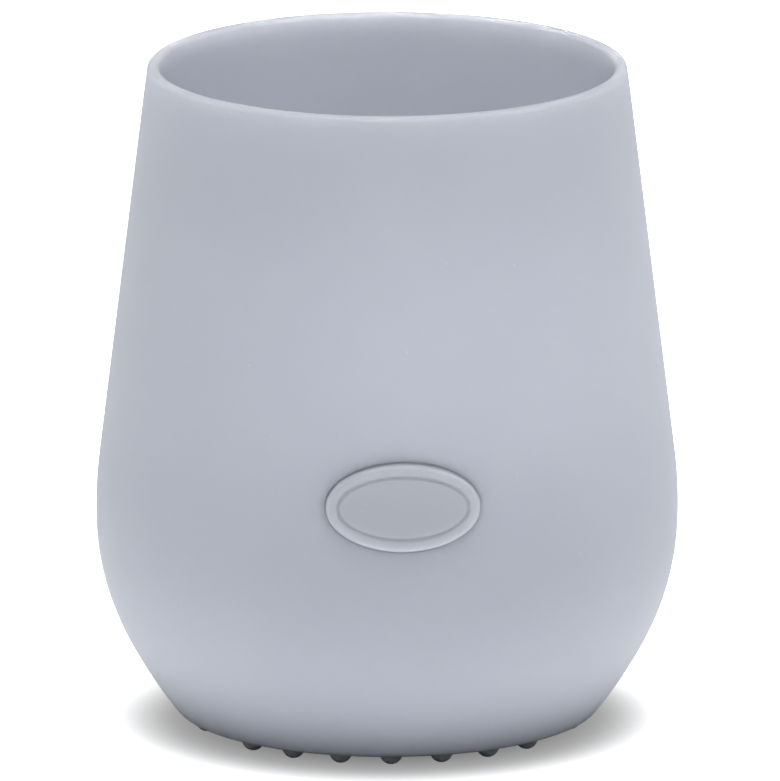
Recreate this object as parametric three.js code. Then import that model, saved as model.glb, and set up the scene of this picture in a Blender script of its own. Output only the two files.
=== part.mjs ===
// Toddler cup: a soft one-piece drinking cup with a thick bellied bottom, a tapered wall and a rounded lip.
// It stands on runs of moulded bumps under its base, and a plain raised oval pad marks its front.
// Millimetres and degrees. +Z is up, the origin is on the table under the cup's axis, and -Y is the front.

import * as THREE from 'three';

// Outside of the cup, a chain of tangent arcs from the base up to the straight wall
const BASE_FLAT_RADIUS = 24.16;
const BASE_CORNER_RADIUS = 1.9;
const FLANK_ARC_RADIUS = 60;
const BELLY_ARC_RADIUS = 33;
const SHOULDER_ARC_RADIUS = 49.4;
const BODY_HEIGHT = 79.5;

// Lean of the outside from upright, where one stretch passes into the next
const FLANK_FOOT_LEAN = 37.9;
const BELLY_FOOT_LEAN = 28.8;
const SHOULDER_FOOT_LEAN = 2.9;
const WALL_TAPER = 7;

// Inside of the cup
const LIP_THICKNESS = 1.5;
const SHOULDER_WALL = 2.6;
const FLOOR_THICKNESS = 7;
const FLOOR_CORNER_RADIUS = 6;

// Bumps that the cup stands on, in equal runs round the edge of the base
const BUMP_RUNS = 3;
const BUMP_RUN_GAP = 9;
const BUMP_SPACING = 6.1;
const BUMP_HEIGHT = 1.2;
const BUMP_BALL_RADIUS = 1.4;
const BUMP_TIP_RADIUS = 0.45;
const BUMP_EDGE_MARGIN = 0.05;
const BUMP_RING_TURN = -2;

// Oval pad on the front
const PAD_WIDTH = 18.4;
const PAD_HEIGHT = 10.4;
const PAD_CENTRE_HEIGHT = 33.2;
const PAD_RAISE = 0.95;
const PAD_EDGE_RADIUS = 0.5;
const PAD_GROOVE_INSET = 1.15;
const PAD_GROOVE_WIDTH = 0.7;
const PAD_GROOVE_DEPTH = 0.25;
const PAD_SEAT_GAP = 0.3;

// Fineness of the facets
const CUP_SIDES = 72;
const BUMP_SIDES = 12;
const PAD_SIDES = 40;
const BROAD_ARC_STEP = 6;
const TIGHT_ARC_STEP = 18;
const PAD_EDGE_STEPS = 3;
const PAD_GROOVE_STEPS = 4;
const PAD_FACE_STEPS = 4;

const BASE_LEVEL = BUMP_HEIGHT;
const LIP_TOP_LEVEL = BASE_LEVEL + BODY_HEIGHT;
const FLOOR_LEVEL = BASE_LEVEL + FLOOR_THICKNESS;
const LIP_RADIUS = LIP_THICKNESS / 2;
const BUMP_RING_RADIUS = BASE_FLAT_RADIUS - BUMP_BALL_RADIUS - BUMP_EDGE_MARGIN;
const BUMP_RUN_ROOM = (2 * Math.PI * BUMP_RING_RADIUS) / BUMP_RUNS - BUMP_RUN_GAP;
const BUMPS_PER_RUN = 1 + Math.floor(BUMP_RUN_ROOM / BUMP_SPACING);
const PAD_LEVEL = BASE_LEVEL + PAD_CENTRE_HEIGHT;

const { degToRad, radToDeg, lerp } = THREE.MathUtils;

// Headings of a profile: 0 points away from the axis, 90 up, 180 to the axis and 270 down
const OUTWARD = 0;
const UP = 90;
const INWARD = 180;
const DOWN = 270;

// Draws half a section in the (radius, level) plane, as straight runs and arcs that meet tangent.
class ProfilePen {
  constructor(radius, level, heading) {
    this.at = new THREE.Vector2(radius, level);
    this.heading = heading;
    this.points = [this.at];
    this.spans = [];
  }

  runTo(radius, level) {
    const from = this.at;
    const to = new THREE.Vector2(radius, level);
    const radiusAt = (z) => lerp(from.x, to.x, (z - from.y) / (to.y - from.y));
    this.spans.push({ low: from.y, high: to.y, radiusAt });
    this.at = to;
    this.points.push(to);
  }

  runToLevel(level) {
    const lean = degToRad(this.heading - UP);
    this.runTo(this.at.x - (level - this.at.y) * Math.tan(lean), level);
  }

  // Bends left to a larger heading and right to a smaller one.
  bendTo(heading, arcRadius, stepAngle) {
    const from = this.at;
    const side = Math.sign(heading - this.heading);
    const spoke = (direction) => {
      const angle = degToRad(direction);
      return new THREE.Vector2(Math.sin(angle), -Math.cos(angle)).multiplyScalar(side * arcRadius);
    };
    const centre = from.clone().sub(spoke(this.heading));
    const steps = Math.ceil(Math.abs(heading - this.heading) / stepAngle);
    for (let step = 1; step <= steps; step += 1) {
      this.points.push(centre.clone().add(spoke(lerp(this.heading, heading, step / steps))));
    }
    this.at = this.points.at(-1);
    this.heading = heading;
    const radiusAt = (z) => centre.x + Math.sqrt(arcRadius ** 2 - (z - centre.y) ** 2);
    this.spans.push({ low: from.y, high: this.at.y, radiusAt });
  }

  // Radius of the first stretch drawn through a level, which is the outer side.
  outerRadiusAt(level) {
    return this.spans.find((span) => span.low < level && level <= span.high).radiusAt(level);
  }
}

// Angle from upright of the line from a foot point that just touches a circle on its side nearer the axis.
function leanOfTangent(foot, centre, circleRadius) {
  const across = centre.clone().sub(foot);
  return radToDeg(Math.atan2(-across.x, across.y) + Math.asin(circleRadius / across.length()));
}

function revolve(points, sides) {
  return new THREE.LatheGeometry(points, sides).rotateX(Math.PI / 2);
}

// Silicone cup body: base, belly, wall, lip and the drinking space, in one outline
function drawCupProfile() {
  const pen = new ProfilePen(0, BASE_LEVEL, OUTWARD);
  pen.runTo(BASE_FLAT_RADIUS, BASE_LEVEL);
  pen.bendTo(UP - FLANK_FOOT_LEAN, BASE_CORNER_RADIUS, TIGHT_ARC_STEP);
  pen.bendTo(UP - BELLY_FOOT_LEAN, FLANK_ARC_RADIUS, BROAD_ARC_STEP);
  pen.bendTo(UP - SHOULDER_FOOT_LEAN, BELLY_ARC_RADIUS, BROAD_ARC_STEP);
  pen.bendTo(UP + WALL_TAPER, SHOULDER_ARC_RADIUS, BROAD_ARC_STEP);
  const shoulder = pen.at;
  pen.runToLevel(LIP_TOP_LEVEL - LIP_RADIUS * (1 - Math.sin(degToRad(WALL_TAPER))));

  // The lip is nearly a half circle, and the wall inside it thickens down to the shoulder
  const insideFoot = shoulder.clone().sub(new THREE.Vector2(SHOULDER_WALL, 0));
  const wallNormal = new THREE.Vector2(Math.cos(degToRad(WALL_TAPER)), Math.sin(degToRad(WALL_TAPER)));
  const lipCentre = pen.at.clone().addScaledVector(wallNormal, -LIP_RADIUS);
  const insideTaper = leanOfTangent(insideFoot, lipCentre, LIP_RADIUS);
  pen.bendTo(DOWN + insideTaper, LIP_RADIUS, TIGHT_ARC_STEP);
  pen.runToLevel(insideFoot.y);

  // The inside follows the belly at the shoulder's wall, until the floor's corner can leave it tangent
  const insideBellyRadius = BELLY_ARC_RADIUS - SHOULDER_WALL;
  pen.bendTo(DOWN - SHOULDER_FOOT_LEAN, SHOULDER_ARC_RADIUS - SHOULDER_WALL, BROAD_ARC_STEP);
  const bellyCentreLevel = pen.at.y + insideBellyRadius * Math.sin(degToRad(SHOULDER_FOOT_LEAN));
  const cornerCentreLevel = FLOOR_LEVEL + FLOOR_CORNER_RADIUS;
  const cornerFall = (bellyCentreLevel - cornerCentreLevel) / (insideBellyRadius - FLOOR_CORNER_RADIUS);
  pen.bendTo(DOWN - radToDeg(Math.asin(cornerFall)), insideBellyRadius, BROAD_ARC_STEP);
  pen.bendTo(INWARD, FLOOR_CORNER_RADIUS, TIGHT_ARC_STEP);
  pen.runTo(0, FLOOR_LEVEL);
  return pen;
}

// Standing bump: part of a ball with a small flat where it meets the table
function makeBumpGeometry() {
  const ballCentre = Math.sqrt(BUMP_BALL_RADIUS ** 2 - BUMP_TIP_RADIUS ** 2);
  const tipHeading = radToDeg(Math.asin(BUMP_TIP_RADIUS / BUMP_BALL_RADIUS));
  const rootHeading = radToDeg(Math.acos((ballCentre - BUMP_HEIGHT) / BUMP_BALL_RADIUS));
  const pen = new ProfilePen(0, 0, OUTWARD);
  pen.runTo(BUMP_TIP_RADIUS, 0);
  pen.heading = tipHeading;
  pen.bendTo(rootHeading, BUMP_BALL_RADIUS, TIGHT_ARC_STEP);
  pen.runTo(0, BASE_LEVEL);
  return revolve(pen.points, BUMP_SIDES);
}

// Closed skin through rings of equal count, from a pole behind the first to a pole past the last
function loftBetweenPoles(firstPole, rings, lastPole) {
  const sides = rings[0].length;
  const vertices = [firstPole, ...rings.flat(), lastPole];
  const last = vertices.length - 1;
  const corner = (ring, side) => 1 + ring * sides + (side % sides);
  const triangles = [];
  for (let side = 0; side < sides; side += 1) {
    triangles.push(0, corner(0, side + 1), corner(0, side));
    for (let ring = 0; ring + 1 < rings.length; ring += 1) {
      const a = corner(ring, side);
      const b = corner(ring, side + 1);
      const c = corner(ring + 1, side + 1);
      const d = corner(ring + 1, side);
      triangles.push(a, b, c, a, c, d);
    }
    triangles.push(last, corner(rings.length - 1, side), corner(rings.length - 1, side + 1));
  }
  const geometry = new THREE.BufferGeometry().setFromPoints(vertices);
  geometry.setIndex(triangles);
  geometry.computeVertexNormals();
  return geometry;
}

// Oval pad: wrapped on the wall, with a round edge and a shallow border groove
function makePadGeometry(cupProfile) {
  const girthRadius = cupProfile.outerRadiusAt(PAD_LEVEL);
  const onWall = (girth, rise, lift) => {
    const level = PAD_LEVEL + rise;
    const radius = cupProfile.outerRadiusAt(level) + lift;
    const turn = girth / girthRadius;
    return new THREE.Vector3(radius * Math.sin(turn), -radius * Math.cos(turn), level);
  };
  const oval = (halfWidth, halfHeight, lift) =>
    Array.from({ length: PAD_SIDES }, (_, side) => {
      const angle = (2 * Math.PI * side) / PAD_SIDES;
      return onWall(halfWidth * Math.cos(angle), halfHeight * Math.sin(angle), lift);
    });
  const insetOval = (inset, lift) => oval(PAD_WIDTH / 2 - inset, PAD_HEIGHT / 2 - inset, lift);

  const rings = [];
  for (let step = 1; step <= PAD_FACE_STEPS; step += 1) {
    const share = step / PAD_FACE_STEPS;
    rings.push(oval((share * PAD_WIDTH) / 2, (share * PAD_HEIGHT) / 2, PAD_SEAT_GAP));
  }
  for (let step = 0; step <= PAD_EDGE_STEPS; step += 1) {
    const angle = (Math.PI / 2) * (step / PAD_EDGE_STEPS);
    const inset = PAD_EDGE_RADIUS * (1 - Math.cos(angle));
    rings.push(insetOval(inset, PAD_RAISE - PAD_EDGE_RADIUS * (1 - Math.sin(angle))));
  }
  for (let step = 0; step <= PAD_GROOVE_STEPS; step += 1) {
    const share = step / PAD_GROOVE_STEPS;
    const dip = PAD_GROOVE_DEPTH * Math.sin(Math.PI * share);
    rings.push(insetOval(PAD_GROOVE_INSET + share * PAD_GROOVE_WIDTH, PAD_RAISE - dip));
  }
  const faceInset = PAD_GROOVE_INSET + PAD_GROOVE_WIDTH;
  for (let step = PAD_FACE_STEPS - 1; step > 0; step -= 1) {
    const share = step / PAD_FACE_STEPS;
    rings.push(oval(share * (PAD_WIDTH / 2 - faceInset), share * (PAD_HEIGHT / 2 - faceInset), PAD_RAISE));
  }
  return loftBetweenPoles(onWall(0, 0, PAD_SEAT_GAP), rings, onWall(0, 0, PAD_RAISE));
}

function siliconePiece(name, geometry, color) {
  const silicone = new THREE.MeshStandardMaterial({ color, roughness: 0.55, metalness: 0 });
  const piece = new THREE.Mesh(geometry, silicone);
  piece.name = name;
  return piece;
}

const BODY_COLOUR = 0xb8bdc8;
const BUMP_COLOUR = 0xaeb3be;
const PAD_COLOUR = 0xbcc1cc;

const cup = new THREE.Group();
const cupProfile = drawCupProfile();
cup.add(siliconePiece('cup_body', revolve(cupProfile.points, CUP_SIDES), BODY_COLOUR));
cup.add(siliconePiece('front_pad', makePadGeometry(cupProfile), PAD_COLOUR));

for (let run = 0; run < BUMP_RUNS; run += 1) {
  const middle = degToRad(BUMP_RING_TURN + (360 * run) / BUMP_RUNS);
  for (let place = 0; place < BUMPS_PER_RUN; place += 1) {
    const label = String(run * BUMPS_PER_RUN + place + 1).padStart(2, '0');
    const offset = (place - (BUMPS_PER_RUN - 1) / 2) * BUMP_SPACING;
    const turn = middle + offset / BUMP_RING_RADIUS;
    const bump = siliconePiece(`base_bump_${label}`, makeBumpGeometry(), BUMP_COLOUR);
    bump.position.set(BUMP_RING_RADIUS * Math.sin(turn), -BUMP_RING_RADIUS * Math.cos(turn), 0);
    cup.add(bump);
  }
}

export default cup;
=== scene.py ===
# %% [markdown]
# # A soft drinking cup for a small child
#
# The real cup is a single moulding of silicone rubber: a wide belly that is hard to tip over, a tapered
# wall, a rounded lip, and three runs of small bumps that it stands on. A plain raised oval pad sits on its
# front.
#
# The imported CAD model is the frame. It fixes the size and place of every piece, in metres, with +Z up and
# -Y to the front. This lesson lays finer skins over its faceted solids, gives them a silicone finish, and
# lights them.

# %% Load the frame and note its box
import math

import bpy
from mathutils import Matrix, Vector


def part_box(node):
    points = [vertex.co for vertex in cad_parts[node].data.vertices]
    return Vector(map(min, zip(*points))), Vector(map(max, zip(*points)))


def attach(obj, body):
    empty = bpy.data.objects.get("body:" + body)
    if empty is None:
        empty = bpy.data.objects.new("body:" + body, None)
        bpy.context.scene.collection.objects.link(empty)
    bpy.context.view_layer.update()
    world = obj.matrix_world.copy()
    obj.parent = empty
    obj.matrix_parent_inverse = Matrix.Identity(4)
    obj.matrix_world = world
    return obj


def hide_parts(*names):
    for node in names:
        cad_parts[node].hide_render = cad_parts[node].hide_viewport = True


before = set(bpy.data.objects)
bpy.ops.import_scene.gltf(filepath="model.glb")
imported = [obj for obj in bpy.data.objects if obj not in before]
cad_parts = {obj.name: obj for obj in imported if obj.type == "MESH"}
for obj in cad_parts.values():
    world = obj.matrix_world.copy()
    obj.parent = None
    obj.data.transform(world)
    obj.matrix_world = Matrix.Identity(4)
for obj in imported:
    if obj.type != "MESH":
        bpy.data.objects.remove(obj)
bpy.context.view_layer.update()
MM = 0.001
print("nodes in the frame:", len(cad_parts))

# %% [markdown]
# ## The photograph's camera
#
# The mouth's ellipse and the curve of the base open by nearly the same amount, so the photograph was taken
# from far away with a long lens. Guessing a lens and moving the camera by eye would never settle. Instead
# the cup's outline was measured in pixels, and the camera's height, distance and focal length were fitted
# to it together. A focal length in pixels becomes one in millimetres through the sensor: Blender's sensor
# width spans the longer side of the picture.

# %% Camera with the photograph's lens
PHOTO_WIDTH_PX = 780
PHOTO_HEIGHT_PX = 781
FOCAL_LENGTH_PX = 24959
SENSOR_WIDTH_MM = 36

camera_data = bpy.data.cameras.new("photo_camera")
camera_data.sensor_width = SENSOR_WIDTH_MM
camera_data.lens = FOCAL_LENGTH_PX * SENSOR_WIDTH_MM / max(PHOTO_WIDTH_PX, PHOTO_HEIGHT_PX)
camera = bpy.data.objects.new("photo_camera", camera_data)
bpy.context.scene.collection.objects.link(camera)
bpy.context.scene.camera = camera
print("lens, mm:", round(camera_data.lens, 1))

# %% Camera at the photograph's viewing angle
CUP_AXIS_PX = 387.2
CAMERA_DISTANCE = 3000 * MM
CAMERA_ELEVATION = math.radians(13.63)
CAMERA_AZIMUTH = math.radians(-3.2)
AIM_LEVEL = 40.39 * MM

camera_right = Vector((math.cos(CAMERA_AZIMUTH), math.sin(CAMERA_AZIMUTH), 0))
camera_back = Vector((
    math.sin(CAMERA_AZIMUTH) * math.cos(CAMERA_ELEVATION),
    -math.cos(CAMERA_AZIMUTH) * math.cos(CAMERA_ELEVATION),
    math.sin(CAMERA_ELEVATION),
))
aim_shift = (PHOTO_WIDTH_PX / 2 - CUP_AXIS_PX) * CAMERA_DISTANCE / FOCAL_LENGTH_PX
aim = camera_right * aim_shift + Vector((0, 0, AIM_LEVEL))
camera.location = aim + camera_back * CAMERA_DISTANCE
camera.rotation_euler = camera_back.to_track_quat("Z", "Y").to_euler()
print("camera's place, mm:", [round(x / MM) for x in camera.location])

# %% [markdown]
# ## Drawing half a section
#
# A cup is turned from half a section, as on a potter's wheel. The section could be a spline through measured
# points, but a toolmaker draws it as straight runs and arcs that meet tangent, and that is what gives a
# mould its clean highlights. The pen below walks such an outline in the plane of radius and level, in
# millimetres. Its heading is 0 away from the axis, 90 up, 180 to the axis and 270 down. It also remembers
# each stretch, so that the wall's radius can be asked for at any level later.

# %% A pen that walks an outline
OUTWARD, UP, INWARD, DOWN = 0, 90, 180, 270
ROW_SPACING = 1.0
LARGEST_BEND_STEP = 7.5


class OutlinePen:
    def __init__(self, radius, level, heading):
        self.radius, self.level, self.heading = radius, level, heading
        self.points = [(radius, level)]
        self.stretches = []

    def run_to(self, radius, level):
        start_radius, start_level = self.radius, self.level
        length = math.hypot(radius - start_radius, level - start_level)
        steps = max(1, math.ceil(length / ROW_SPACING))
        for step in range(1, steps + 1):
            share = step / steps
            self.radius = start_radius + share * (radius - start_radius)
            self.level = start_level + share * (level - start_level)
            self.points.append((self.radius, self.level))

        def radius_at(asked):
            return start_radius + (asked - start_level) / (level - start_level) * (radius - start_radius)

        self.stretches.append((start_level, level, radius_at))

    def run_to_level(self, level):
        fall = math.tan(math.radians(self.heading - UP))
        self.run_to(self.radius - (level - self.level) * fall, level)

    def bend_to(self, heading, arc_radius):
        side = math.copysign(arc_radius, heading - self.heading)
        start_level, start = self.level, math.radians(self.heading)
        centre_radius = self.radius - side * math.sin(start)
        centre_level = self.level + side * math.cos(start)
        turn = heading - self.heading
        arc_length = arc_radius * math.radians(abs(turn))
        steps = max(math.ceil(abs(turn) / LARGEST_BEND_STEP), math.ceil(arc_length / ROW_SPACING))
        for step in range(1, steps + 1):
            angle = math.radians(self.heading + turn * step / steps)
            self.radius = centre_radius + side * math.sin(angle)
            self.level = centre_level - side * math.cos(angle)
            self.points.append((self.radius, self.level))
        self.heading = heading

        def radius_at(asked):
            return centre_radius + math.sqrt(arc_radius**2 - (asked - centre_level) ** 2)

        self.stretches.append((start_level, self.level, radius_at))

    def outer_radius_at(self, asked):
        for low, high, radius_at in self.stretches:
            if low < asked <= high:
                return radius_at(asked)
        raise ValueError(f"the outline's outer side doesn't pass level {asked}")


# %% [markdown]
# ## The cup's own section
#
# From the base up: a small corner, a nearly straight flank, the belly, a soft shoulder and the straight
# taper. Each angle is the wall's lean from upright where one stretch passes into the next. The base's level
# comes from the frame, where the bumps hold it up, and the lip lies the body's height above it. The lip is a
# tight half round outside and a slower curve inside, which is kinder to a child's mouth. A plain half round
# would be simpler, but the photograph's lip fades into the inside wall and doesn't stop at an edge. Below it
# the wall thickens down to the shoulder, and a thick floor keeps the cup's weight low.

# %% Outside of the cup body, in millimetres and degrees
BODY_HEIGHT = 79.5
BASE_FLAT_RADIUS = 24.16
BASE_CORNER_RADIUS = 1.9
FLANK_ARC_RADIUS = 60
BELLY_ARC_RADIUS = 33
SHOULDER_ARC_RADIUS = 49.4
FLANK_FOOT_LEAN = 37.9
BELLY_FOOT_LEAN = 28.8
SHOULDER_FOOT_LEAN = 2.9
WALL_TAPER = 7
LIP_RADIUS = 0.75

BASE_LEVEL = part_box("cup_body")[0].z / MM
LIP_TOP_LEVEL = BASE_LEVEL + BODY_HEIGHT

taper = math.radians(WALL_TAPER)
section = OutlinePen(BASE_FLAT_RADIUS, BASE_LEVEL, OUTWARD)
section.bend_to(UP - FLANK_FOOT_LEAN, BASE_CORNER_RADIUS)
section.bend_to(UP - BELLY_FOOT_LEAN, FLANK_ARC_RADIUS)
section.bend_to(UP - SHOULDER_FOOT_LEAN, BELLY_ARC_RADIUS)
section.bend_to(UP + WALL_TAPER, SHOULDER_ARC_RADIUS)
shoulder_radius, shoulder_level = section.radius, section.level
section.run_to_level(LIP_TOP_LEVEL - LIP_RADIUS * (1 - math.sin(taper)))
outer_points = len(section.points)
belly_radius = max(radius for radius, level in section.points)
print("outer wall: rim radius", round(section.radius, 2), "belly radius", round(belly_radius, 2))

# %% Lip and inside wall
LIP_INSIDE_RADIUS = 9
LIP_INSIDE_LEAN = 8
SHOULDER_WALL = 2.6

foot_radius = shoulder_radius - SHOULDER_WALL
lip_centre_radius = section.radius - LIP_RADIUS * math.cos(taper)
lip_centre_level = section.level - LIP_RADIUS * math.sin(taper)
curve_start = math.radians(DOWN - LIP_INSIDE_LEAN)
curve_reach = LIP_INSIDE_RADIUS - LIP_RADIUS
across = lip_centre_radius - curve_reach * math.sin(curve_start) - foot_radius
climb = lip_centre_level + curve_reach * math.cos(curve_start) - shoulder_level
touching = math.asin(LIP_INSIDE_RADIUS / math.hypot(across, climb))
inside_taper = math.degrees(math.atan2(-across, climb) + touching)
section.bend_to(DOWN - LIP_INSIDE_LEAN, LIP_RADIUS)
section.bend_to(DOWN + inside_taper, LIP_INSIDE_RADIUS)
section.run_to_level(shoulder_level)
print("inside wall: taper", round(inside_taper, 2), "shoulder radius", round(section.radius, 2))

# %% Inside of the belly, and the floor
FLOOR_THICKNESS = 7
FLOOR_CORNER_RADIUS = 6
FLOOR_LEVEL = BASE_LEVEL + FLOOR_THICKNESS

inside_belly_radius = BELLY_ARC_RADIUS - SHOULDER_WALL
section.bend_to(DOWN - SHOULDER_FOOT_LEAN, SHOULDER_ARC_RADIUS - SHOULDER_WALL)
belly_centre_level = section.level + inside_belly_radius * math.sin(math.radians(SHOULDER_FOOT_LEAN))
corner_centre_level = FLOOR_LEVEL + FLOOR_CORNER_RADIUS
corner_fall = (belly_centre_level - corner_centre_level) / (inside_belly_radius - FLOOR_CORNER_RADIUS)
section.bend_to(DOWN - math.degrees(math.asin(corner_fall)), inside_belly_radius)
section.bend_to(INWARD, FLOOR_CORNER_RADIUS)
section.run_to(0, FLOOR_LEVEL)
print("floor level", round(section.level, 2), "points in the section:", len(section.points))

# %% [markdown]
# ## From rings to a skin
#
# A modifier could spin the outline, but two small marks of the mould break the symmetry, so the rings are
# laid out in code. One function closes any stack of rings, from a point before the first to a point after
# the last, and it serves the body, the bumps and the pad alike. Quads keep the shading even, and smooth
# shading does the rest.

# %% One function for every skin
def skin_from_rings(name, first_point, rings, last_point):
    sides = len(rings[0])
    points = [first_point, *(point for ring in rings for point in ring), last_point]
    last = len(points) - 1
    faces = []
    for side in range(sides):
        following = (side + 1) % sides
        faces.append((0, 1 + following, 1 + side))
        for ring in range(len(rings) - 1):
            near, far = 1 + ring * sides, 1 + (ring + 1) * sides
            faces.append((near + side, near + following, far + following, far + side))
        end = 1 + (len(rings) - 1) * sides
        faces.append((end + side, end + following, last))
    mesh = bpy.data.meshes.new(name)
    mesh.from_pydata([Vector(point) * MM for point in points], [], faces)
    mesh.validate()
    mesh.shade_smooth()
    piece = bpy.data.objects.new(name, mesh)
    bpy.context.scene.collection.objects.link(piece)
    print(name, "faces:", len(mesh.polygons), "size, mm:", [round(x / MM, 2) for x in piece.dimensions])
    return piece


def around_axis(radius, angle, level):
    return (radius * math.sin(angle), -radius * math.cos(angle), level)


# %% [markdown]
# ## The body, with the marks of its mould
#
# The belly is wider than the base and the mouth, so the outside of the mould opens sideways in two halves,
# and a faint seam runs up the cup at its left and right. Silicone is shot in at the middle of the base,
# which leaves a shallow dimple with a small stub in it. Both could be painted with bump, but a real ridge
# also shows in the mesh itself, so extra columns are set close together at the seam and extra rings at
# the dimple.

# %% Marks of the mould
SEAM_ANGLE_DEG = 90
SEAM_HEIGHT = 0.05
SEAM_HALF_WIDTH_DEG = 0.5
GATE_DIMPLE_RADIUS = 2.8
GATE_DIMPLE_DEPTH = 0.35
GATE_DIMPLE_SLOPE = 0.8
GATE_STUB_RADIUS = 0.55
GATE_STUB_HEIGHT = 0.22
GATE_STUB_FOOT = 1.3 * GATE_STUB_RADIUS
GATE_STUB_SLOPE = 0.6 * GATE_STUB_RADIUS


def smooth_step(share):
    share = min(1.0, max(0.0, share))
    return share * share * (3 - 2 * share)


def seam_rise(angle_deg):
    off = min(abs(angle_deg % 180 - SEAM_ANGLE_DEG) / SEAM_HALF_WIDTH_DEG, 1.0)
    return SEAM_HEIGHT * (1 - smooth_step(off))


def gate_level(radius):
    dimple = GATE_DIMPLE_DEPTH * smooth_step((GATE_DIMPLE_RADIUS - radius) / GATE_DIMPLE_SLOPE)
    stub = GATE_STUB_HEIGHT * smooth_step((GATE_STUB_FOOT - radius) / GATE_STUB_SLOPE)
    return BASE_LEVEL + dimple - stub


print("seam rise, mm:", seam_rise(SEAM_ANGLE_DEG), "dimple level:", round(gate_level(0), 2))

# %% Columns and rows of the body
BODY_SIDES = 240
SEAM_COLUMNS = 4
SEAM_FADE = 3.0
GATE_RINGS = 16

even_columns = [360 * side / BODY_SIDES for side in range(BODY_SIDES)]
seam_columns = [
    middle + SEAM_HALF_WIDTH_DEG * step / (SEAM_COLUMNS / 2)
    for middle in (SEAM_ANGLE_DEG, SEAM_ANGLE_DEG + 180)
    for step in range(-SEAM_COLUMNS // 2, SEAM_COLUMNS // 2 + 1)
    if step != 0
]
columns = sorted(even_columns + seam_columns)

gate_radii = [GATE_DIMPLE_RADIUS * ring / GATE_RINGS for ring in range(1, GATE_RINGS + 1)]
base_steps = math.ceil((BASE_FLAT_RADIUS - GATE_DIMPLE_RADIUS) / ROW_SPACING)
base_radii = [
    GATE_DIMPLE_RADIUS + (BASE_FLAT_RADIUS - GATE_DIMPLE_RADIUS) * step / base_steps
    for step in range(1, base_steps)
]
rows = [(radius, gate_level(radius), 0.0) for radius in gate_radii + base_radii]
rim_level = section.points[outer_points - 1][1]
for index, (radius, level) in enumerate(section.points[:-1]):
    fade = smooth_step((level - BASE_LEVEL) / SEAM_FADE) * smooth_step((rim_level - level) / SEAM_FADE)
    rows.append((radius, level, fade if index < outer_points else 0.0))
print("columns:", len(columns), "rows:", len(rows))

# %% Body skin
body_rings = [
    [around_axis(radius + seam * seam_rise(turn), math.radians(turn), level) for turn in columns]
    for radius, level, seam in rows
]
body = skin_from_rings("cup_body_skin", (0, 0, gate_level(0)), body_rings, (0, 0, FLOOR_LEVEL))
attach(body, "root")
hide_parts("cup_body")

# %% [markdown]
# ## The bumps under the base
#
# The bumps let the cup grip a wet tray, and they stand in three runs with a bare stretch after each. Each is
# nearly half a ball with a small flat at its tip, and it flows into the base with a fillet, because a sharp
# root would tear when the cup is pulled from its mould. A sphere pressed into the base would show a hard
# line there, so the bump's outline has the fillet drawn in. The place of each bump comes from its node in
# the frame.

# %% Outline of one bump
BUMP_BALL_RADIUS = 1.4
BUMP_TIP_RADIUS = 0.45
BUMP_ROOT_FILLET = 0.35
BUMP_SINK = 0.03
BUMP_RING_SPACING_DEG = 6


def bump_outline():
    ball_centre = math.sqrt(BUMP_BALL_RADIUS**2 - BUMP_TIP_RADIUS**2)
    fillet_level = BASE_LEVEL + BUMP_SINK - BUMP_ROOT_FILLET
    reach = BUMP_BALL_RADIUS + BUMP_ROOT_FILLET
    fillet_radius = math.sqrt(reach**2 - (ball_centre - fillet_level) ** 2)
    tip_turn = math.degrees(math.asin(BUMP_TIP_RADIUS / BUMP_BALL_RADIUS))
    root_turn = math.degrees(math.acos((ball_centre - fillet_level) / reach))
    outline = [(BUMP_TIP_RADIUS / 2, 0.0)]
    ball_steps = math.ceil((root_turn - tip_turn) / BUMP_RING_SPACING_DEG)
    for step in range(ball_steps + 1):
        turn = math.radians(tip_turn + (root_turn - tip_turn) * step / ball_steps)
        outline.append((BUMP_BALL_RADIUS * math.sin(turn), ball_centre - BUMP_BALL_RADIUS * math.cos(turn)))
    fillet_steps = math.ceil(root_turn / BUMP_RING_SPACING_DEG)
    for step in range(1, fillet_steps + 1):
        turn = math.radians(root_turn * (1 - step / fillet_steps))
        outline.append((
            fillet_radius - BUMP_ROOT_FILLET * math.sin(turn),
            fillet_level + BUMP_ROOT_FILLET * math.cos(turn),
        ))
    return outline


print("bump: root radius", round(bump_outline()[-1][0], 2), "rings", len(bump_outline()))

# %% Bump skins
BUMP_SIDES = 40

bump_angles = [2 * math.pi * side / BUMP_SIDES for side in range(BUMP_SIDES)]
bump_rings = [
    [around_axis(radius, angle, level) for angle in bump_angles] for radius, level in bump_outline()
]
bump_nodes = sorted(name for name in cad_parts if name.startswith("base_bump_"))
bumps = []
for node in bump_nodes:
    low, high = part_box(node)
    bump = skin_from_rings(node + "_skin", (0, 0, 0), bump_rings, (0, 0, BASE_LEVEL + BUMP_SINK))
    bump.location = ((low.x + high.x) / 2, (low.y + high.y) / 2, low.z)
    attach(bump, "root")
    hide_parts(node)
    bumps.append(bump)
print("bumps:", len(bumps))

# %% [markdown]
# ## The pad on the front
#
# The pad is a plain oval, raised a little under a millimetre, with a rounded edge and a shallow groove
# inside it. Cutting it out of a thick plate would leave a flat face on a round wall. Here every ring of the
# pad is wrapped on the wall instead: its width runs along the girth, its height runs up the section, and its
# lift is added to the wall's own radius. A fillet at the foot lets the pad grow out of the wall, as it does
# in one moulding.

# %% Ovals wrapped on the wall
PAD_WIDTH = 18.4
PAD_HEIGHT = 10.4
PAD_SIDES = 128

pad_low, pad_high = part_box("front_pad")
PAD_LEVEL = (pad_low.z + pad_high.z) / 2 / MM
girth_radius = section.outer_radius_at(PAD_LEVEL)
pad_angles = [2 * math.pi * side / PAD_SIDES for side in range(PAD_SIDES)]


def on_wall(girth, rise, lift):
    level = PAD_LEVEL + rise
    return around_axis(section.outer_radius_at(level) + lift, girth / girth_radius, level)


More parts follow.
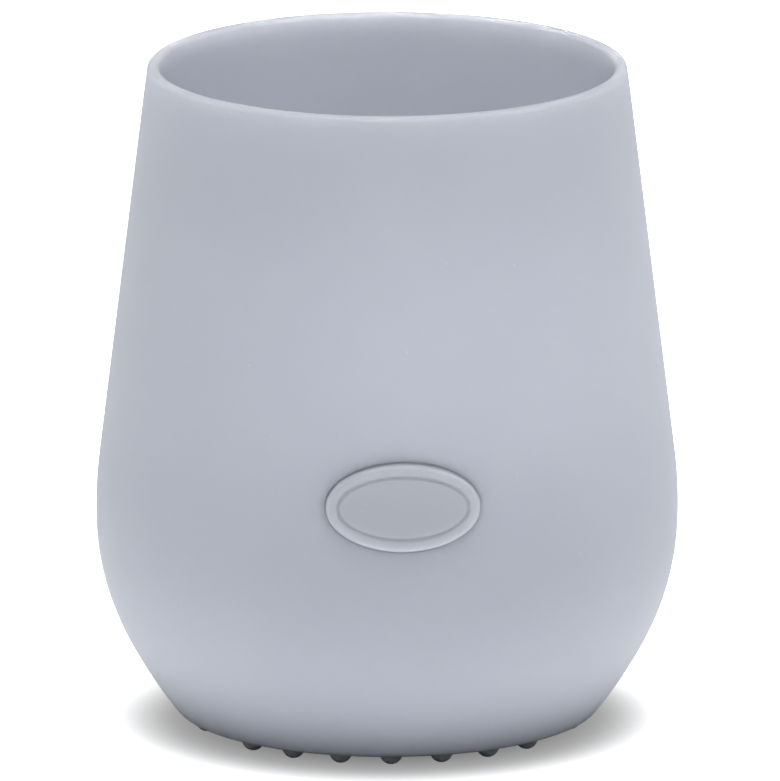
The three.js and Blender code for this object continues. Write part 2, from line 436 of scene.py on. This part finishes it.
def pad_oval(inset, lift, share=1.0):
    half_width = share * (PAD_WIDTH / 2 - inset)
    half_height = share * (PAD_HEIGHT / 2 - inset)
    return [
        on_wall(half_width * math.cos(angle), half_height * math.sin(angle), lift) for angle in pad_angles
    ]


print("pad: level", round(PAD_LEVEL, 2), "wall radius there", round(girth_radius, 2))

# %% Rings of the pad, from its back over the edge to its face
PAD_RAISE = 0.95
PAD_EDGE_RADIUS = 0.5
PAD_FOOT_FILLET = 0.35
PAD_GROOVE_INSET = 1.15
PAD_GROOVE_WIDTH = 0.7
PAD_GROOVE_DEPTH = 0.25
PAD_SINK = 0.03
PAD_BACK_SINK = 0.4
PAD_FACE_RINGS = 10
PAD_CURVE_RINGS = 8
PAD_GROOVE_RINGS = 2 * PAD_CURVE_RINGS

quarter_turns = [math.pi / 2 * step / PAD_CURVE_RINGS for step in range(PAD_CURVE_RINGS + 1)]
face_shares = [step / PAD_FACE_RINGS for step in range(1, PAD_FACE_RINGS)]
pad_rings = [pad_oval(-PAD_FOOT_FILLET, -PAD_BACK_SINK, share) for share in face_shares + [1.0]]
for turn in quarter_turns:
    outset = PAD_FOOT_FILLET * (1 - math.sin(turn))
    pad_rings.append(pad_oval(-outset, PAD_FOOT_FILLET * (1 - math.cos(turn)) - PAD_SINK))
for turn in quarter_turns:
    inset = PAD_EDGE_RADIUS * (1 - math.cos(turn))
    pad_rings.append(pad_oval(inset, PAD_RAISE - PAD_EDGE_RADIUS * (1 - math.sin(turn))))
for step in range(PAD_GROOVE_RINGS + 1):
    share = step / PAD_GROOVE_RINGS
    dip = PAD_GROOVE_DEPTH * (1 - math.cos(2 * math.pi * share)) / 2
    pad_rings.append(pad_oval(PAD_GROOVE_INSET + share * PAD_GROOVE_WIDTH, PAD_RAISE - dip))
groove_end = PAD_GROOVE_INSET + PAD_GROOVE_WIDTH
pad_rings += [pad_oval(groove_end, PAD_RAISE, share) for share in reversed(face_shares)]
print("pad rings:", len(pad_rings))

# %% Pad skin
pad = skin_from_rings("front_pad_skin", on_wall(0, 0, -PAD_BACK_SINK), pad_rings, on_wall(0, 0, PAD_RAISE))
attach(pad, "root")
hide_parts("front_pad")

# %% [markdown]
# ## A node helper and true colours
#
# Colours are picked as sRGB hex values, as on a screen, but shaders work with linear light, so one function
# turns one into the other. A second adds a node, sets its options and fills its inputs, each with a plain
# value or with another node's output. A Mix node holds sockets for numbers, vectors and colours side by
# side under the same names, so its colours are reached by their place in the list. Sizes of patterns are
# given in millimetres, and a texture's scale is one over that size.

# %% Helpers for materials
MIX_FIRST, MIX_SECOND, MIX_RESULT = 6, 7, 2
WHITE = "#ffffff"


def linear(hex_colour):
    channels = [int(hex_colour[at:at + 2], 16) / 255 for at in (1, 3, 5)]
    return (*(c / 12.92 if c <= 0.04045 else ((c + 0.055) / 1.055) ** 2.4 for c in channels), 1.0)


def add_node(tree, kind, options=None, inputs=None):
    node = tree.nodes.new(kind)
    for name, value in (options or {}).items():
        setattr(node, name, value)
    for name, value in (inputs or {}).items():
        if isinstance(value, bpy.types.NodeSocket):
            tree.links.new(value, node.inputs[name])
        else:
            node.inputs[name].default_value = value
    return node


def scale_for(size_mm):
    return 1 / (size_mm * MM)


print("white in linear light:", linear(WHITE))

# %% [markdown]
# ## Silicone rubber, moulded matte
#
# Platinum-cured silicone has an IOR of about 1.41, and its mould is blasted, which gives the eye a soft, dry
# surface with no sharp reflections. It is translucent: light travels some millimetres inside before it comes
# out again, which softens every shade and brightens the thin lip and the inside. A gradient painted on the
# lip could fake that from one side, but scattering under the surface holds from all sides. Four quiet things
# keep the surface from being one flat colour: clouds in the pigment, a few specks of lint, which silicone
# always gathers, patches that hands have polished, and the fine grain of the blasted mould. The grain is
# really about 0.05 mm, and it is drawn coarser so that it shows at all.

# %% Pigment with faint clouds
PIGMENT_CLOUD_MM = 16
PIGMENT_DARK = "#b6bbc6"
PIGMENT_LIGHT = "#bcc1cb"

silicone = bpy.data.materials.new("silicone_moulded_matte")
silicone.use_nodes = True
rubber_tree = silicone.node_tree
rubber_tree.nodes.clear()
place = add_node(rubber_tree, "ShaderNodeTexCoord").outputs["Object"]
clouds = add_node(rubber_tree, "ShaderNodeTexNoise", inputs={
    "Vector": place, "Scale": scale_for(PIGMENT_CLOUD_MM), "Detail": 4.0, "Roughness": 0.55,
})
pigment = add_node(rubber_tree, "ShaderNodeMix", {"data_type": "RGBA"}, {
    "Factor": clouds.outputs["Fac"], MIX_FIRST: linear(PIGMENT_DARK), MIX_SECOND: linear(PIGMENT_LIGHT),
})
print("pigment from", PIGMENT_DARK, "to", PIGMENT_LIGHT)

# %% Specks of lint
LINT_SPACING_MM = 2.6
LINT_RADIUS_MM = 0.16
LINT_CORE = 0.4
LINT_SHARE = 0.28
LINT_STRENGTH = 0.3
LINT_COLOUR = "#e4e6ea"

lint = add_node(rubber_tree, "ShaderNodeTexVoronoi", inputs={
    "Vector": place, "Scale": scale_for(LINT_SPACING_MM),
})
lint_size = LINT_RADIUS_MM / LINT_SPACING_MM
near_lint = add_node(rubber_tree, "ShaderNodeMapRange", {"interpolation_type": "SMOOTHSTEP"}, {
    "Value": lint.outputs["Distance"], "From Min": LINT_CORE * lint_size, "From Max": lint_size,
    "To Min": 1.0, "To Max": 0.0,
})
lot = add_node(rubber_tree, "ShaderNodeSeparateColor", inputs={"Color": lint.outputs["Color"]})
drawn = add_node(rubber_tree, "ShaderNodeMath", {"operation": "LESS_THAN"}, {
    0: lot.outputs["Red"], 1: LINT_SHARE,
})
speck = add_node(rubber_tree, "ShaderNodeMath", {"operation": "MULTIPLY"}, {
    0: near_lint.outputs["Result"], 1: drawn.outputs["Value"],
})
speck_strength = add_node(rubber_tree, "ShaderNodeMath", {"operation": "MULTIPLY"}, {
    0: speck.outputs["Value"], 1: LINT_STRENGTH,
})
rubber_colour = add_node(rubber_tree, "ShaderNodeMix", {"data_type": "RGBA"}, {
    "Factor": speck_strength.outputs["Value"],
    MIX_FIRST: pigment.outputs[MIX_RESULT],
    MIX_SECOND: linear(LINT_COLOUR),
})
print("lint: one cell in", round(1 / LINT_SHARE, 1), "holds a speck")

# %% Polished patches and the grain of the mould
POLISH_PATCH_MM = 11
POLISHED_ROUGHNESS = 0.50
MATTE_ROUGHNESS = 0.62
NOISE_LOW = 0.3
NOISE_HIGH = 0.7
MOULD_GRAIN_MM = 0.32
MOULD_GRAIN_DEPTH_MM = 0.02

patches = add_node(rubber_tree, "ShaderNodeTexNoise", inputs={
    "Vector": place, "Scale": scale_for(POLISH_PATCH_MM), "Detail": 3.0,
})
roughness = add_node(rubber_tree, "ShaderNodeMapRange", inputs={
    "Value": patches.outputs["Fac"], "From Min": NOISE_LOW, "From Max": NOISE_HIGH,
    "To Min": POLISHED_ROUGHNESS, "To Max": MATTE_ROUGHNESS,
})
grain = add_node(rubber_tree, "ShaderNodeTexNoise", inputs={
    "Vector": place, "Scale": scale_for(MOULD_GRAIN_MM), "Detail": 2.0,
})
surface = add_node(rubber_tree, "ShaderNodeBump", inputs={
    "Height": grain.outputs["Fac"], "Distance": MOULD_GRAIN_DEPTH_MM * MM, "Strength": 1.0,
})
print("roughness from", POLISHED_ROUGHNESS, "to", MATTE_ROUGHNESS)

# %% Silicone on every piece
SILICONE_IOR = 1.41
LIGHT_REACH_MM = 6
REACH_BY_COLOUR = (1.0, 0.95, 0.9)

rubber = add_node(rubber_tree, "ShaderNodeBsdfPrincipled", inputs={
    "Base Color": rubber_colour.outputs[MIX_RESULT],
    "Roughness": roughness.outputs["Result"],
    "Normal": surface.outputs["Normal"],
    "IOR": SILICONE_IOR,
    "Subsurface Weight": 1.0,
    "Subsurface Radius": REACH_BY_COLOUR,
    "Subsurface Scale": LIGHT_REACH_MM * MM,
})
add_node(rubber_tree, "ShaderNodeOutputMaterial", inputs={"Surface": rubber.outputs["BSDF"]})
for piece in (body, pad, *bumps):
    piece.data.materials.append(silicone)
print("silicone nodes:", len(rubber_tree.nodes))

# %% [markdown]
# ## The floor
#
# Pale soft things are photographed on a pale table. White paper would do, but it goes grey round the cup and
# leaves the flank under the belly too dark. A sheet of matte opal acrylic with some light from below stays
# white and throws light up under the belly. Round the cup's foot the table carries a painted shade: its
# colour is painted dark there and its glow is kept off, so less light bounces up and the base and the bumps
# sink into shade. The shadow that is left on the table is lightened as well: a Light Path node lets the
# table give the camera more light than it gives the cup, and less of it close to the cup's axis. That holds
# from every side, and it touches the table alone.

# %% Table top
TABLE_SIZE = 6.0

half = TABLE_SIZE / 2
table_corners = [(-half, -half, 0), (half, -half, 0), (half, half, 0), (-half, half, 0)]
table_mesh = bpy.data.meshes.new("shooting_table")
table_mesh.from_pydata(table_corners, [], [(0, 1, 2, 3)])
table = bpy.data.objects.new("shooting_table", table_mesh)
bpy.context.scene.collection.objects.link(table)
print("table, m:", TABLE_SIZE)

# %% Opal acrylic, painted dark round the cup's foot
# Painted shade: within the first radius the table's colour is painted dark and gets no glow, fading to the
# pale acrylic by the second radius.
PAINTED_SHADE_FULL_TO_MM = 25
PAINTED_SHADE_ENDS_MM = 39
ACRYLIC_GRAIN_MM = 3
ACRYLIC_DARK = "#f4f4f5"
ACRYLIC_LIGHT = "#f8f8f8"
ACRYLIC_PAINTED_SHADE = "#5c5c5c"

acrylic = bpy.data.materials.new("opal_acrylic_matte")
acrylic.use_nodes = True
acrylic_tree = acrylic.node_tree
acrylic_tree.nodes.clear()
table_place = add_node(acrylic_tree, "ShaderNodeTexCoord").outputs["Object"]
table_grain = add_node(acrylic_tree, "ShaderNodeTexNoise", inputs={
    "Vector": table_place, "Scale": scale_for(ACRYLIC_GRAIN_MM), "Detail": 5.0,
})
acrylic_colour = add_node(acrylic_tree, "ShaderNodeMix", {"data_type": "RGBA"}, {
    "Factor": table_grain.outputs["Fac"],
    MIX_FIRST: linear(ACRYLIC_DARK),
    MIX_SECOND: linear(ACRYLIC_LIGHT),
})
from_axis = add_node(acrylic_tree, "ShaderNodeVectorMath", {"operation": "LENGTH"}, {0: table_place})
clear_of_painted_shade = add_node(acrylic_tree, "ShaderNodeMapRange", {"interpolation_type": "SMOOTHSTEP"}, {
    "Value": from_axis.outputs["Value"], "From Min": PAINTED_SHADE_FULL_TO_MM * MM, "From Max": PAINTED_SHADE_ENDS_MM * MM,
})
# The table's colour goes from painted shade near the cup's axis to the pale acrylic further out.
table_colour_with_painted_shade = add_node(acrylic_tree, "ShaderNodeMix", {"data_type": "RGBA"}, {
    "Factor": clear_of_painted_shade.outputs["Result"],
    MIX_FIRST: linear(ACRYLIC_PAINTED_SHADE),
    MIX_SECOND: acrylic_colour.outputs[MIX_RESULT],
})
print("painted_dark to", PAINTED_SHADE_FULL_TO_MM, "mm, open table from", PAINTED_SHADE_ENDS_MM, "mm")

# %% Light from the table
TABLE_GLOW = 0.62
SHADOW_LIFT = 0.6
LIFT_STARTS_MM = 6
LIFT_FULL_MM = 40
ACRYLIC_ROUGHNESS = 0.9
ACRYLIC_SPECULAR = 0.2

glow = add_node(acrylic_tree, "ShaderNodeMath", {"operation": "MULTIPLY"}, {
    0: clear_of_painted_shade.outputs["Result"], 1: TABLE_GLOW,
})
lift = add_node(acrylic_tree, "ShaderNodeMapRange", {"interpolation_type": "SMOOTHSTEP"}, {
    "Value": from_axis.outputs["Value"], "From Min": LIFT_STARTS_MM * MM, "From Max": LIFT_FULL_MM * MM,
    "To Max": SHADOW_LIFT,
})
ray = add_node(acrylic_tree, "ShaderNodeLightPath")
table_light = add_node(acrylic_tree, "ShaderNodeMath", {"operation": "MULTIPLY_ADD"}, {
    0: ray.outputs["Is Camera Ray"], 1: lift.outputs["Result"], 2: glow.outputs["Value"],
})
acrylic_shader = add_node(acrylic_tree, "ShaderNodeBsdfPrincipled", inputs={
    "Base Color": table_colour_with_painted_shade.outputs[MIX_RESULT],
    "Roughness": ACRYLIC_ROUGHNESS,
    "Specular IOR Level": ACRYLIC_SPECULAR,
    "Emission Color": linear(WHITE),
    "Emission Strength": table_light.outputs["Value"],
})
add_node(acrylic_tree, "ShaderNodeOutputMaterial", inputs={"Surface": acrylic_shader.outputs["BSDF"]})
table.data.materials.append(acrylic)
print("acrylic nodes:", len(acrylic_tree.nodes))

# %% [markdown]
# ## The light
#
# A white room, which is the world here, lights every side of the cup alike, and a large softbox overhead
# adds direction. It hangs a little to the right, because the photograph is brighter there. Those two alone
# leave the wall a little dim next to the lip. A stronger softbox would burn the lip out, so two low strips
# with grids, in front and at the right, lift the middle of the wall, and two small lamps with grids look
# down through the mouth, at the inside and at the front of the lip. A grid sends a lamp's power into one
# narrow beam, so thousandths of a watt are enough there. The strengths were fitted to the photograph's
# brightness. No lamp is seen by the camera.

# %% White room
WORLD_STRENGTH = 0.33

world = bpy.data.worlds.new("white_room")
world.use_nodes = True
world.node_tree.nodes.clear()
sky = add_node(world.node_tree, "ShaderNodeBackground", inputs={
    "Color": linear(WHITE), "Strength": WORLD_STRENGTH,
})
add_node(world.node_tree, "ShaderNodeOutputWorld", inputs={"Surface": sky.outputs["Background"]})
bpy.context.scene.world = world
bpy.context.scene.view_settings.view_transform = "Standard"
print("world strength:", WORLD_STRENGTH)


# %% A lamp that looks at a point, placed by angles from the camera's side
def toward(azimuth_deg, elevation_deg):
    azimuth = CAMERA_AZIMUTH + math.radians(azimuth_deg)
    elevation = math.radians(elevation_deg)
    level_part = math.cos(elevation)
    return Vector((math.sin(azimuth) * level_part, -math.cos(azimuth) * level_part, math.sin(elevation)))


def add_lamp(name, target, away, watts, shape, width, height, spread_deg=180):
    data = bpy.data.lights.new(name, "AREA")
    data.energy = watts
    data.shape = shape
    data.size = width
    data.size_y = height
    data.spread = math.radians(spread_deg)
    lamp = bpy.data.objects.new(name, data)
    lamp.location = target + away
    lamp.rotation_euler = away.to_track_quat("Z", "Y").to_euler()
    lamp.visible_camera = False
    bpy.context.scene.collection.objects.link(lamp)
    print(name, "watts:", watts, "place, mm:", [round(x / MM) for x in lamp.location])


# %% Softbox overhead
SOFTBOX_WATTS = 11
SOFTBOX_SIDE = 0.8
SOFTBOX_DISTANCE = 1.5
SOFTBOX_AZIMUTH = 25
SOFTBOX_ELEVATION = 82

cup_middle = Vector((0, 0, 38 * MM))
softbox_way = toward(SOFTBOX_AZIMUTH, SOFTBOX_ELEVATION) * SOFTBOX_DISTANCE
add_lamp(
    "overhead_softbox", cup_middle, softbox_way, SOFTBOX_WATTS,
    shape="RECTANGLE", width=SOFTBOX_SIDE, height=SOFTBOX_SIDE,
)

# %% Strips for the wall
STRIP_WATTS = {"middle": 0.0013, "right": 0.00086}
STRIP_AZIMUTHS = {"middle": 0, "right": 42}
STRIP_ELEVATION = 16
STRIP_DISTANCE = 0.35
STRIP_WIDTH = 80 * MM
STRIP_HEIGHT = 35 * MM
STRIP_SPREAD = 6

wall_middle = Vector((0, 0, 44 * MM))
for side, azimuth in STRIP_AZIMUTHS.items():
    strip_way = toward(azimuth, STRIP_ELEVATION) * STRIP_DISTANCE
    add_lamp(
        side + "_strip", wall_middle, strip_way, STRIP_WATTS[side],
        shape="RECTANGLE", width=STRIP_WIDTH, height=STRIP_HEIGHT, spread_deg=STRIP_SPREAD,
    )

# %% Lamps for the mouth
MOUTH_WATTS = {"left": 0.0028, "right": 0.003}
MOUTH_AZIMUTHS = {"left": -45, "right": 42}
MOUTH_ELEVATION = 45
MOUTH_DISTANCE = 0.25
MOUTH_LAMP_WIDTH = 50 * MM
MOUTH_SPREAD = 8
PAST_THE_AXIS_MM = 11

mouth_middle = Vector((0, 0, 80 * MM))
for side, azimuth in MOUTH_AZIMUTHS.items():
    mouth_aim = mouth_middle - toward(azimuth, 0) * PAST_THE_AXIS_MM * MM
    mouth_way = toward(azimuth, MOUTH_ELEVATION) * MOUTH_DISTANCE
    add_lamp(
        side + "_mouth_lamp", mouth_aim, mouth_way, MOUTH_WATTS[side],
        shape="ELLIPSE", width=MOUTH_LAMP_WIDTH, height=MOUTH_LAMP_WIDTH, spread_deg=MOUTH_SPREAD,
    )
